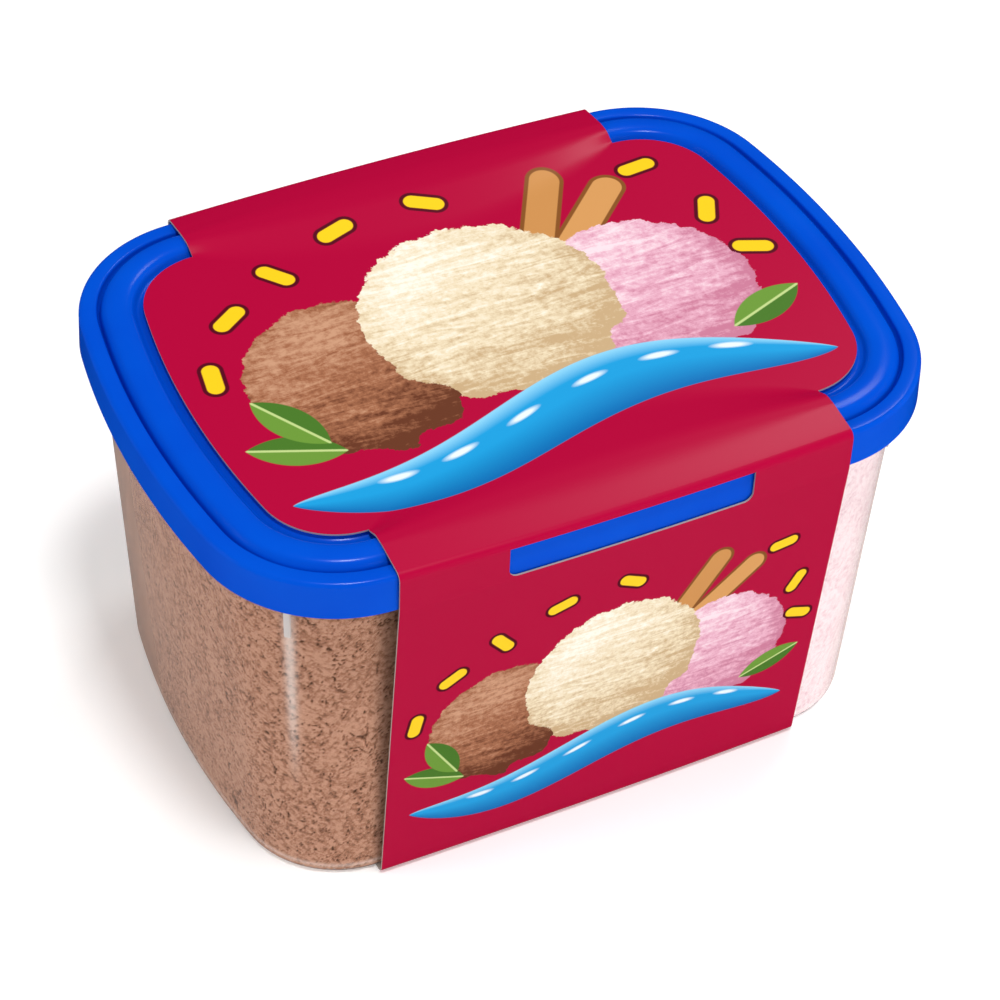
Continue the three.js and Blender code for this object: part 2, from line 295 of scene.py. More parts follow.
class Bench:
    """Takes one mesh object through Blender's own modelling steps."""

    def __init__(self, name: str, primitive: Callable[..., Any], **settings: Any) -> None:
        """Adds a primitive with nothing else selected.

        Args:
            name: The piece's name.
            primitive: The operator that adds it.
            **settings: The operator's options.
        """
        bpy.ops.object.select_all(action="DESELECT")
        primitive(**settings)
        self.object: bpy.types.Object = bpy.context.object
        self.object.name = self.object.data.name = name

    @property
    def mesh(self) -> bpy.types.Mesh:
        """The object's mesh."""
        return self.object.data

    def select_alone(self) -> None:
        """Makes this the only selected object, and the active one."""
        bpy.ops.object.select_all(action="DESELECT")
        self.object.select_set(True)
        bpy.context.view_layer.objects.active = self.object

    def place(self, points: Iterable[Sequence[float]]) -> None:
        """Moves the vertices to new places.

        Args:
            points: X, Y and Z of each vertex in order, in millimetres.
        """
        flat = np.asarray(list(points), dtype=np.float32).ravel() * MM
        self.mesh.vertices.foreach_set("co", flat)
        self.mesh.update()

    def edit(self, mode: str = "VERT") -> None:
        """Opens edit mode with nothing selected.

        Args:
            mode: What is selected there: VERT, EDGE or FACE.
        """
        bpy.context.view_layer.objects.active = self.object
        bpy.ops.object.mode_set(mode="EDIT")
        bpy.ops.mesh.select_mode(type=mode)
        bpy.ops.mesh.select_all(action="DESELECT")

    def pick(self, chosen: Callable[[Any], bool], kind: str = "verts") -> None:
        """Selects vertices, edges or faces of the open mesh in code.

        Args:
            chosen: Says whether an element is picked.
            kind: Which elements are asked: verts, edges or faces.
        """
        bpy.ops.mesh.select_all(action="DESELECT")
        work = bmesh.from_edit_mesh(self.mesh)
        for element in [e for e in getattr(work, kind) if chosen(e)]:
            element.select_set(True)
        work.select_flush_mode()
        bmesh.update_edit_mesh(self.mesh)

    def close(self) -> None:
        """Leaves edit mode."""
        bpy.ops.object.mode_set(mode="OBJECT")

    def merge(self) -> None:
        """Joins vertices that lie in one place."""
        self.edit()
        bpy.ops.mesh.select_all(action="SELECT")
        bpy.ops.mesh.remove_doubles(threshold=MERGE_DISTANCE)
        self.close()

    def face_out(self) -> None:
        """Turns all faces outwards."""
        self.edit("FACE")
        bpy.ops.mesh.select_all(action="SELECT")
        bpy.ops.mesh.normals_make_consistent(inside=False)
        self.close()

    def apply(self, kind: str, **settings: Any) -> None:
        """Adds a modifier with its settings and applies it.

        Args:
            kind: The modifier's type.
            **settings: Its properties.
        """
        modifier = self.object.modifiers.new(kind.lower(), kind)
        for key, value in settings.items():
            setattr(modifier, key, value)
        self.select_alone()
        bpy.ops.object.modifier_apply(modifier=modifier.name)

    def take_in(self, other: "Bench") -> None:
        """Joins another object into this one.

        Args:
            other: The object that is taken in.
        """
        self.select_alone()
        other.object.select_set(True)
        bpy.ops.object.join()

    def cut_with(self, other: "Bench", operation: str) -> None:
        """Cuts or joins this solid with another one, which is then removed."""
        self.apply("BOOLEAN", operation=operation, solver="EXACT", object=other.object)
        bpy.data.objects.remove(other.object)

    def smooth(self, crease: Crease) -> None:
        """Shades smooth, apart from the edges that stay sharp on a kind of surface."""
        self.select_alone()
        bpy.ops.object.shade_smooth_by_angle(angle=math.radians(crease.value))


def terraces(name: str, profile: Sequence[Ring], facing: Facing) -> Bench:
    """Draws a filled ring of the pack's outline inwards, terrace by terrace.

    Args:
        name: The object's name.
        profile: Inset and level of each terrace, from the widest ring to the middle.
        facing: Which way the ring looks.

    Returns:
        The open shell, closed in the middle by its last terrace.
    """
    bench = Bench(name, bpy.ops.mesh.primitive_circle_add, vertices=OUTLINE.stations, fill_type="NGON")
    inset, level = profile[0]
    bench.place((x, y, level) for x, y in OUTLINE.ring(inset))
    bench.edit("FACE")
    bpy.ops.mesh.select_all(action="SELECT")
    if facing is Facing.DOWN:
        bpy.ops.mesh.flip_normals()
    for (inset, level), (next_inset, next_level) in pairwise(profile):
        rise = (next_level - level) * facing.value
        bpy.ops.mesh.inset(thickness=(next_inset - inset) * MM, depth=rise * MM)
    bench.close()
    return bench


def bridge_rims(outer: Bench, inner: Bench) -> None:
    """Joins two shells and bridges their open rims into one closed wall.

    Args:
        outer: The shell that stays.
        inner: The shell that it takes in.
    """
    outer.take_in(inner)
    outer.edit("EDGE")
    outer.pick(lambda e: e.is_boundary, "edges")
    bpy.ops.mesh.bridge_edge_loops()
    outer.close()


class NodeSheet:
    """A material's node tree, drawn node by node."""

    def __init__(self, name: str) -> None:
        """Starts a material with its shader.

        Args:
            name: The material's name.
        """
        self.material = bpy.data.materials.new(name)
        self.material.use_nodes = True
        self.tree = self.material.node_tree
        self.shader = next(n for n in self.tree.nodes if n.type == "BSDF_PRINCIPLED")

    def add(
        self,
        kind: str,
        *values: Any,
        out: int | str = 0,
        named: dict[Any, Any] | None = None,
        **settings: Any,
    ) -> Socket:
        """Adds a node, sets its options, and fills or links its inputs.

        Args:
            kind: The node's type, without its prefix.
            *values: Sockets or plain values for the inputs in order; None skips one.
            out: The output that is returned.
            named: Inputs by name or number.
            **settings: The node's options.

        Returns:
            The chosen output socket.
        """
        node = self.tree.nodes.new("ShaderNode" + kind)
        for key, value in settings.items():
            setattr(node, key, value)
        for key, value in [*enumerate(values), *(named or {}).items()]:
            if isinstance(value, Socket):
                self.tree.links.new(value, node.inputs[key])
            elif value is not None:
                node.inputs[key].default_value = value
        return node.outputs[out]

    def set(self, **values: Any) -> None:
        """Sets or links the shader's own inputs.

        Args:
            **values: Values or sockets by the input's name, with underscores for spaces.
        """
        for key, value in values.items():
            socket = self.shader.inputs[key.replace("_", " ")]
            if isinstance(value, Socket):
                self.tree.links.new(value, socket)
            else:
                socket.default_value = value


@dataclass(frozen=True)
class MouldedLidPlastic:
    """Injection-moulded polypropylene: saturated, satin, with the faintest orange peel in its gloss."""

    colour: str = "#0057D8"
    deep_colour: str = "#0046CA"
    cloud_mm: float = 22.0
    peel_mm: float = 1.6

    def material(self) -> bpy.types.Material:
        """Builds the finish.

        Returns:
            The material.
        """
        sheet = NodeSheet("moulded_polypropylene_blue")
        place = sheet.add("TexCoord", out="Object")
        cloud = sheet.add("TexNoise", place, named={"Scale": 1 / (self.cloud_mm * MM), "Detail": 2.0})
        tone = sheet.add("Mix", named={0: cloud, 6: linear(self.deep_colour), 7: linear(self.colour)},
                         out=2, data_type="RGBA")
        peel = sheet.add("TexNoise", place, named={"Scale": 1 / (self.peel_mm * MM), "Detail": 3.0})
        normal = sheet.add("Bump", named={"Strength": 0.05, "Distance": 0.1 * MM, "Height": peel})
        sheet.set(Base_Color=tone, Roughness=0.2, IOR=1.49, Specular_IOR_Level=0.14, Normal=normal)
        return sheet.material


@dataclass(frozen=True)
class ClearTubPlastic:
    """Clear thin-wall polypropylene: shows what is behind it, with a soft gloss at its edges."""

    tint: str = "#FBFAF8"
    haze: str = "#FFEDE4"

    def material(self) -> bpy.types.Material:
        """Builds the finish.

        Returns:
            The material.
        """
        sheet = NodeSheet("clear_polypropylene")
        sheet.set(Base_Color=linear(self.tint), Roughness=0.06, IOR=1.18, Transmission_Weight=1.0,
                  Sheen_Weight=0.7, Sheen_Roughness=0.33, Sheen_Tint=linear(self.haze))
        return sheet.material


@dataclass(frozen=True)
class FrostedRibPlastic:
    """The stacking ribs' thick, light-scattering polypropylene: milky white and dull."""

    colour: str = "#D2CAC6"
    grain_mm: float = 0.8

    def material(self) -> bpy.types.Material:
        """Builds the finish.

        Returns:
            The material.
        """
        sheet = NodeSheet("frosted_polypropylene")
        place = sheet.add("TexCoord", out="Object")
        grain = sheet.add("TexNoise", place, named={"Scale": 1 / (self.grain_mm * MM)})
        normal = sheet.add("Bump", named={"Strength": 0.1, "Distance": 0.05 * MM, "Height": grain})
        sheet.set(Base_Color=linear(self.colour), Roughness=0.5, IOR=1.49, Normal=normal)
        return sheet.material


@dataclass(frozen=True)
class BareBoard:
    """Carton without print: dull pressed fibre with fine flecks."""

    name: str
    colour: str
    fleck_mm: float = 0.9
    fleck_shade: float = 0.8

    def material(self) -> bpy.types.Material:
        """Builds the finish.

        Returns:
            The material.
        """
        sheet = NodeSheet(self.name)
        place = sheet.add("TexCoord", out="Object")
        fleck = sheet.add("TexNoise", place, named={"Scale": 1 / (self.fleck_mm * MM), "Detail": 4.0})
        light = linear(self.colour)
        dark = (*(c * self.fleck_shade for c in light[:3]), 1.0)
        tone = sheet.add("Mix", named={0: fleck, 6: dark, 7: light}, out=2, data_type="RGBA")
        sheet.set(Base_Color=tone, Roughness=0.85, IOR=1.45)
        return sheet.material


@dataclass
class Press:
    """Lays a print's motifs over one another in a material's nodes, in the design's own millimetres."""

    sheet: NodeSheet
    x: Socket
    y: Socket
    colour: Any
    crisp: float = 0.12

    def inside(self, reach: Socket, limit: Any, blur: float | None = None) -> Socket:
        """Makes a mask that is 1 where a reach is below a limit.

        Args:
            reach: The socket that is compared.
            limit: A socket or number to compare it with.
            blur: Half the soft edge's width, or None for a crisp one.

        Returns:
            The mask.
        """
        soft = blur or self.crisp
        past = self.sheet.add("Math", reach, limit, operation="SUBTRACT")
        return self.sheet.add("MapRange", past, soft, -soft)

    def mix(self, mask: Socket, under: Any, over: Any) -> Socket:
        """Lays one colour over another where a mask is 1."""
        return self.sheet.add("Mix", named={0: mask, 6: under, 7: over}, out=2, data_type="RGBA")

    def lay(self, mask: Socket, over: Any) -> None:
        """Lays a colour over the print so far where a mask is 1."""
        self.colour = self.mix(mask, self.colour, over)

    def length(self, along: Any, across: Any) -> Socket:
        """The length of a flat vector."""
        flat = self.sheet.add("CombineXYZ", along, across)
        return self.sheet.add("VectorMath", flat, operation="LENGTH", out="Value")

    def local(self, x: float, y: float, turn: float) -> list[Socket]:
        """Turns the design's places into those of one motif.

        Args:
            x: The motif's place along the design.
            y: Its place up the design.
            turn: Its turn in radians.

        Returns:
            The places along and across the motif.
        """
        place = self.sheet.add("CombineXYZ", self.x, self.y)
        moved = self.sheet.add("Mapping", place, vector_type="TEXTURE",
                               named={"Location": (x, y, 0), "Rotation": (0, 0, turn)})
        return list(self.sheet.add("SeparateXYZ", moved).node.outputs)[:2]


@dataclass(frozen=True)
class Bar:
    """A printed round-ended bar with an outline: a sprinkle or a wafer, in the design's millimetres."""

    x: float
    y: float
    turn: float
    half_length: float = 4.4
    half_width: float = 1.8
    colour: str = "#FFD01C"
    outline: str = "#5A0A20"
    outline_width: float = 0.9

    def print_on(self, press: Press) -> None:
        """Prints the outline, then the bar.

        Args:
            press: The press that it is printed with.
        """
        add = press.sheet.add
        along, across = press.local(self.x, self.y, self.turn)
        straight = self.half_length - self.half_width
        past = add("Math", add("Math", along, operation="ABSOLUTE"), straight, operation="SUBTRACT")
        reach = press.length(add("Math", past, 0.0, operation="MAXIMUM"), across)
        press.lay(press.inside(reach, self.half_width + self.outline_width), linear(self.outline))
        press.lay(press.inside(reach, self.half_width), linear(self.colour))


@dataclass(frozen=True)
class Leaf:
    """A printed leaf between two arcs, one half shaded, with a pale rib, in the design's millimetres."""

    x: float
    y: float
    turn: float
    half_length: float = 10.0
    half_width: float = 4.2
    colour: str = "#6E9A3A"
    shade: str = "#4B7A2A"
    rib: str = "#C4D98C"
    rib_width: float = 0.3

    def print_on(self, press: Press) -> None:
        """Prints the leaf.

        Args:
            press: The press that it is printed with.
        """
        along, across = press.local(self.x, self.y, self.turn)
        offset = (self.half_length**2 - self.half_width**2) / (2 * self.half_width)
        away = press.sheet.add("Math", across, operation="ABSOLUTE")
        reach = press.length(along, press.sheet.add("Math", away, offset, operation="ADD"))
        halves = press.mix(press.inside(across, 0.0), linear(self.colour), linear(self.shade))
        ribbed = press.mix(press.inside(away, self.rib_width), halves, linear(self.rib))
        press.lay(press.inside(reach, offset + self.half_width), ribbed)


@dataclass(frozen=True)
class Scoop:
    """A printed scoop, ragged round its edge, frilled at its foot and ridged, in the design's millimetres."""

    number: int
    x: float
    y: float
    radius: float
    dark: str
    middle: str
    light: str
    frill_waves: float = 11.0
    frill_depth: float = 1.3
    frill_band: Ring = (-0.1, -0.8)
    crag_depth: float = 6.0
    crag_mm: float = 5.0
    crumb_mm: float = 1.7
    ridge_mm: Ring = (20.0, 3.3)
    ridge_turn: float = 0.22
    turn_step: float = 0.1
    noise_step: float = 40.0
    ridge_share: float = 0.6
    light_lean: float = -0.5
    shade: Ring = (-0.14, 0.1)
    rim_from: float = 0.75
    rim_shade: float = -0.08
    contrast: Ring = (0.34, 0.62)

    def edge(self, add: AddNode, along: Socket, up: Socket, local: Socket) -> Socket:
        """Draws how far the scoop reaches in each direction.

        Args:
            add: The sheet's way to add a node.
            along: The place along the scoop from its middle.
            up: The place up it.
            local: Both as a vector.

        Returns:
            The reach.
        """
        angle = add("Math", up, along, operation="ARCTAN2")
        turned = add("Math", angle, self.frill_waves, operation="MULTIPLY")
        foot = add("MapRange", up, *(share * self.radius for share in self.frill_band))
        frill = add("Math", add("Math", turned, operation="SINE"), foot, operation="MULTIPLY")
        crag = add("TexNoise", local, named={"Scale": 1 / self.crag_mm, "Detail": 5.0, "Roughness": 0.65})
        furthest = self.radius + self.crag_depth / 2
        ragged = add("Math", crag, -self.crag_depth, furthest, operation="MULTIPLY_ADD")
        return add("Math", frill, self.frill_depth, ragged, operation="MULTIPLY_ADD")

    def relief(self, add: AddNode, local: Socket) -> Socket:
        """Draws the ridges that the spoon left, and crumbs.

        Args:
            add: The sheet's way to add a node.
            local: The place from the scoop's middle.

        Returns:
            The height, about half at its middle.
        """
        turn = self.ridge_turn + self.turn_step * self.number
        scale = (*(1 / mm for mm in self.ridge_mm), 1)
        drawn = add("Mapping", local, named={"Rotation": (0, 0, turn), "Scale": scale})
        ridge = add("TexNoise", drawn,
                    named={"Detail": 7.0, "Roughness": 0.72, "Distortion": 1.4, "Scale": 1.0})
        crumb = add("TexNoise", local, named={"Scale": 1 / self.crumb_mm, "Detail": 4.0, "Roughness": 0.7})
        crumbs = add("Math", crumb, 1 - self.ridge_share, operation="MULTIPLY")
        return add("Math", ridge, self.ridge_share, crumbs, operation="MULTIPLY_ADD")

    def print_on(self, press: Press) -> None:
        """Prints the scoop, lit from its upper left.

        Args:
            press: The press that it is printed with.
        """
        add, size = press.sheet.add, self.radius
        along = add("Math", press.x, self.x, operation="SUBTRACT")
        up = add("Math", press.y, self.y, operation="SUBTRACT")
        local = add("CombineXYZ", along, up, self.noise_step * self.number)
        reach = press.length(along, up)
        lit = add("Math", along, self.light_lean, up, operation="MULTIPLY_ADD")
        shade = add("MapRange", lit, -size, size, *self.shade)
        rim = add("MapRange", reach, self.rim_from * size, size, 0.0, self.rim_shade)
        shaded = add("Math", shade, rim, operation="ADD")
        light = add("Math", shaded, self.relief(add, local), operation="ADD")
        tone = add("ValToRGB", add("MapRange", light, *self.contrast))
        ramp = tone.node.color_ramp
        ramp.elements[0].color, ramp.elements[1].color = linear(self.dark), linear(self.light)
        ramp.elements.new(0.5).color = linear(self.middle)
        press.lay(press.inside(reach, self.edge(add, along, up, local)), tone)


@dataclass(frozen=True)
class Ribbon:
    """A printed wavy ribbon with pointed ends and a row of glints, in the design's millimetres."""

    level: float = -26.0
    swing: float = 6.0
    waves_per_mm: float = 0.055
    phase: float = 0.5
    half_length: float = 60.0
    half_width: float = 9.0
    taper: float = 0.7
    colour: str = "#1B9FDE"
    light: str = "#8AD2F4"
    light_band: Ring = (0.55, 0.95)
    shade: str = "#0E6FB6"
    shade_band: Ring = (0.1, -0.9)
    glint: str = "#EAF7FD"
    glints: tuple[float, ...] = (-38.0, -24.0, -8.0, 9.0, 25.0, 40.0)
    glint_above: float = 3.2
    glint_length: float = 3.4
    glint_width: float = 0.8
    glint_blur: float = 0.3

    def half_at(self, add: AddNode, x: Socket, crisp: float) -> Socket:
        """Draws half the ribbon's width, tapering to its two ends.

        Args:
            add: The sheet's way to add a node.
            x: The place along the design.
            crisp: Half the width of a motif's edge, kept clear past the ends.

        Returns:
            The half width.
        """
        share = add("Math", add("Math", x, self.half_length, operation="DIVIDE"), 2.0, operation="POWER")
        left = add("Math", 1.0, share, operation="SUBTRACT", use_clamp=True)
        tapered = add("Math", left, self.taper, operation="POWER")
        return add("Math", tapered, self.half_width, -2 * crisp, operation="MULTIPLY_ADD")

    def print_on(self, press: Press) -> None:
        """Prints the ribbon, light along its upper edge and dark along its lower one, then its glints.

        Args:
            press: The press that it is printed with.
        """
        add = press.sheet.add
        phase = add("Math", press.x, self.waves_per_mm, self.phase, operation="MULTIPLY_ADD")
        wave = add("Math", phase, operation="SINE")
        line = add("Math", wave, self.swing, self.level, operation="MULTIPLY_ADD")
        off = add("Math", press.y, line, operation="SUBTRACT")
        half = self.half_at(add, press.x, press.crisp)
        away = add("Math", off, operation="ABSOLUTE")
        height = add("Math", off, add("Math", half, press.crisp, operation="MAXIMUM"), operation="DIVIDE")
        tone = press.mix(add("MapRange", height, *self.shade_band), linear(self.colour), linear(self.shade))
        tone = press.mix(add("MapRange", height, *self.light_band), tone, linear(self.light))
        press.lay(press.inside(away, half), tone)
        above = add("Math", off, self.glint_above, operation="SUBTRACT")
        for x in self.glints:
            past = add("Math", press.x, x, operation="SUBTRACT")
            along = add("Math", past, self.glint_width / self.glint_length, operation="MULTIPLY")
            reach = press.length(along, above)
            press.lay(press.inside(reach, self.glint_width, self.glint_blur), linear(self.glint))


@dataclass(frozen=True)
class PrintedCarton:
    """Coated carton with a smooth, satin ink film: a plain field, a scatter of motifs and a ribbon."""

    field_colour: str = "#B50039"
    fold_z: float = 109.0
    side_centre_z: float = 46.0
    top_centre_y: float = -6.0
    top_scale: float = 1.2
    side_scale: float = 0.88
    fibre_mm: float = 2.5
    sprinkles: tuple[Bar, ...] = (
        Bar(-50.0, 28.0, 0.6), Bar(-36.0, 37.0, -0.9), Bar(57.0, 21.0, 1.1), Bar(60.0, 6.0, -0.4),
        Bar(-60.0, 12.0, 1.4), Bar(-19.0, 45.0, 0.3), Bar(2.0, 46.0, -0.5), Bar(50.0, 40.0, 0.1),
    )
    wafers: tuple[Bar, ...] = (
        Bar(24.0, 34.0, 1.05, 14.0, 3.3, "#CF9152", "#8A5426"),
        Bar(33.0, 29.0, 0.75, 14.0, 3.3, "#D99C5C", "#8A5426"),
    )
    scoops: tuple[Scoop, ...] = (
        Scoop(0, -33.0, 2.0, 23.0, "#6B3A26", "#A76C4D", "#CE9B7B"),
        Scoop(1, 33.0, 2.0, 23.0, "#CB7C98", "#E9AFC4", "#FAE0E8"),
        Scoop(2, 0.0, 10.0, 27.0, "#CBAC82", "#EFDDBB", "#FFF9EA"),
    )
    leaves: tuple[Leaf, ...] = (Leaf(-53.0, -14.0, 2.75), Leaf(-51.0, -6.0, 2.1), Leaf(53.0, -12.0, 0.35))
    ribbon: Ribbon = Ribbon()

    def press(self, sheet: NodeSheet, metres: Socket) -> Press:
        """Turns places on the card into the design's own millimetres, on the top, front and back.

        Args:
            sheet: The material's sheet.
            metres: The place on the card.

        Returns:
            A press with the plain field on it.
        """
        place = sheet.add("VectorMath", metres, named={"Scale": 1 / MM}, operation="SCALE")
        x, y, z = sheet.add("SeparateXYZ", place).node.outputs
        top = sheet.add("Math", z, self.fold_z, operation="GREATER_THAN")
        turned = sheet.add("Math", sheet.add("Math", y, operation="SIGN"), -1.0, operation="MULTIPLY")
        side_x = sheet.add("Math", x, turned, operation="MULTIPLY")
        side_y = sheet.add("Math", z, self.side_centre_z, operation="SUBTRACT")
        top_y = sheet.add("Math", y, self.top_centre_y, operation="SUBTRACT")
        design = []
        for on_top, on_side in ((x, side_x), (top_y, side_y)):
            flat = sheet.add("Math", on_top, self.top_scale, operation="DIVIDE")
            upright = sheet.add("Math", on_side, self.side_scale, operation="DIVIDE")
            design.append(sheet.add("Mix", named={0: top, 2: upright, 3: flat}))
        return Press(sheet, *design, linear(self.field_colour))

    def material(self) -> bpy.types.Material:
        """Builds the finish, motif over motif.

        Returns:
            The material.
        """
        sheet = NodeSheet("printed_coated_carton")
        metres = sheet.add("TexCoord", out="Object")
        press = self.press(sheet, metres)
        for motif in (*self.sprinkles, *self.wafers, *self.scoops, *self.leaves, self.ribbon):
            motif.print_on(press)
        fibre = sheet.add("TexNoise", metres, named={"Scale": 1 / (self.fibre_mm * MM), "Detail": 3.0})
        normal = sheet.add("Bump", named={"Strength": 0.04, "Distance": 0.1 * MM, "Height": fibre})
        sheet.set(Base_Color=press.colour, Roughness=0.31, IOR=1.5, Specular_IOR_Level=0.17, Normal=normal)
        return sheet.material


@dataclass(frozen=True)
class IceCream:
    """Frozen, whipped ice cream against a clear wall: matt, with painted shade darkening its torn pits and a
    painted highlight whitening it in places.
    """

    name: str
    # ridge is the lighter colour where no pit lies; the pit colour is painted shade deep in the pits.
    ridge: str
    colour: str
    pit_shade_colour: str
    colour_at: float = 0.4
    cloud_mm: float = 8.0
    cloud_range: Ring = (0.35, 0.65)
    cloud_share: float = 0.1
    grain_mm: float = 0.95
    grain_turn: tuple[float, float, float] = (0.0, -0.78, 0.78)
    grain_stretch: float = 0.5
    grain_range: Ring = (0.3, 0.7)
    grain_share: float = 0.3
    # Painted highlight: whitens the colour where the highlight attribute is set.
    highlight_colour: str = "#FFFAF6"
    highlight_share: float = 0.45

    def material(self) -> bpy.types.Material:
        """Builds the finish, with painted shade darkening it where the mesh's own pits lie and a painted
        highlight whitening it along a streak below each rib and a ring near the foot.

        Returns:
            The material.
        """
        sheet = NodeSheet(self.name + "_ice_cream")
        place = sheet.add("TexCoord", out="Object")
        cloud = sheet.add("TexNoise", place, named={"Scale": 1 / (self.cloud_mm * MM), "Detail": 3.0})
        turned = sheet.add("Mapping", place, named={"Rotation": self.grain_turn})
        drawn = sheet.add("VectorMath", turned, (self.grain_stretch, 1.0, 1.0), operation="MULTIPLY")
        grain = sheet.add("TexNoise", drawn, named={"Scale": 1 / (self.grain_mm * MM), "Detail": 3.0})
        patchy = sheet.add("MapRange", cloud, *self.cloud_range, -self.cloud_share, self.cloud_share)
        grainy = sheet.add("MapRange", grain, *self.grain_range, -self.grain_share, self.grain_share)
        pit = sheet.add("Attribute", out="Fac", attribute_name=PIT)
        uneven = sheet.add("Math", patchy, grainy, operation="ADD")
        level = sheet.add("Math", pit, uneven, operation="ADD", use_clamp=True)
        # Painted shade: the colour darkens from ridge through the ice cream's colour to the pit colour as the
        # pits deepen; grain and patches shift it at random.
        tone = sheet.add("ValToRGB", level)
        ramp = tone.node.color_ramp
        ramp.elements[0].color, ramp.elements[1].color = linear(self.ridge), linear(self.pit_shade_colour)
        ramp.elements.new(self.colour_at).color = linear(self.colour)
        # Painted highlight: a pale streak below each rib and a ring near the foot, laid over the colour.
        painted_highlight = sheet.add("Attribute", out="Fac", attribute_name=PAINTED_HIGHLIGHT)
        highlight_weight = sheet.add("Math", painted_highlight, self.highlight_share, operation="MULTIPLY")
        colour = sheet.add("Mix", named={0: highlight_weight, 6: tone, 7: linear(self.highlight_colour)},
                           out=2, data_type="RGBA")
        sheet.set(Base_Color=colour, Roughness=0.7, IOR=1.35)
        return sheet.material


@dataclass
class Lid:
    """The clip-on lid: upright skirt, ledge, groove, rounded bead and flat panel."""

    draft: float = 0.35
    edge_round: float = 1.4
    edge_steps: int = 8
    foot_round: float = 0.3
    groove: tuple[Ring, ...] = ((4.3, 111.6), (4.75, 111.3), (4.95, 110.2), (5.45, 109.2))
    bead: tuple[Ring, ...] = ((5.45, 109.2), (5.95, 110.9), (7.4, 112.5), (10.2, 113.0), (12.8, 112.5),
                              (14.0, 111.0))
    trough: tuple[Ring, ...] = ((14.0, 111.0), (14.6, 110.3), (15.6, 110.1), (16.6, 110.5), (17.6, 111.4))
    hollow: tuple[Ring, ...] = ((7.7, 109.6), (8.9, 111.6), (10.2, 112.0), (11.9, 111.5), (13.2, 110.2),
                                (14.2, 109.4), (15.6, 109.2), (17.2, 109.5), (18.2, 110.4))
    groove_steps: int = 9
    bead_steps: int = 30
    trough_steps: int = 12
    hollow_steps: int = 24
    snap_depth: float = 0.8
    snap_z: float = 102.6
    snap_reach: Ring = (1.0, 1.5)
    plug: tuple[Ring, ...] = ((3.6, 110.61), (4.2, 108.3), (7.2, 108.31))
    finish: MouldedLidPlastic = field(default_factory=MouldedLidPlastic)

    def top_profile(self) -> list[Ring]:
        """Draws the lid's upper side.

        Returns:
            Inset and level of each terrace, from the skirt's foot.
        """
        edge = quarter_round(self.draft, 0.0, self.edge_round, self.edge_steps)
        rounded = [(inset, LEVELS.ledge - z) for inset, z in reversed(edge)]
        foot = LEVELS.skirt_bottom
        groove = spline(self.groove, self.groove_steps)
        bead = spline(self.bead, self.bead_steps)[1:]
        trough = spline(self.trough, self.trough_steps)[1:]
        return [(0.0, foot + self.foot_round), *rounded, *groove, *bead, *trough]

    def under_profile(self) -> list[Ring]:
        """Draws the lid's underside.

        Returns:
            Inset and level of each terrace, a wall's thickness away.
        """
        wall, foot = LEVELS.lid_wall, LEVELS.skirt_bottom
        below, above = self.snap_reach
        skirt = [(self.foot_round, foot), (wall - self.foot_round, foot), (wall, foot + self.foot_round)]
        levels = (self.snap_z - below, self.snap_z, self.snap_z + above)
        snap = [(wall + NUDGE * i, z) for i, z in enumerate(levels, start=1)]
        roof = (wall + self.draft, LEVELS.ledge - wall)
        return [*skirt, *snap, roof, *self.plug, *spline(self.hollow, self.hollow_steps)]

    def build(self) -> Bench:
        """Models the lid as two terraced shells bridged at the skirt's foot.

        Returns:
            The lid.
        """
        lid = terraces("lid_moulding", self.top_profile(), Facing.UP)
        bridge_rims(lid, terraces("lid_underside", self.under_profile(), Facing.DOWN))
        lid.edit()
        lid.pick(lambda v: abs(v.co.z / MM - self.snap_z) < NUDGE)
        bpy.ops.transform.shrink_fatten(value=self.snap_depth * MM)
        lid.close()
        lid.smooth(Crease.MOULDED)
        return lid

    def dress(self, lid: Bench) -> None:
        """Gives the lid its finish."""
        lid.mesh.materials.append(self.finish.material())


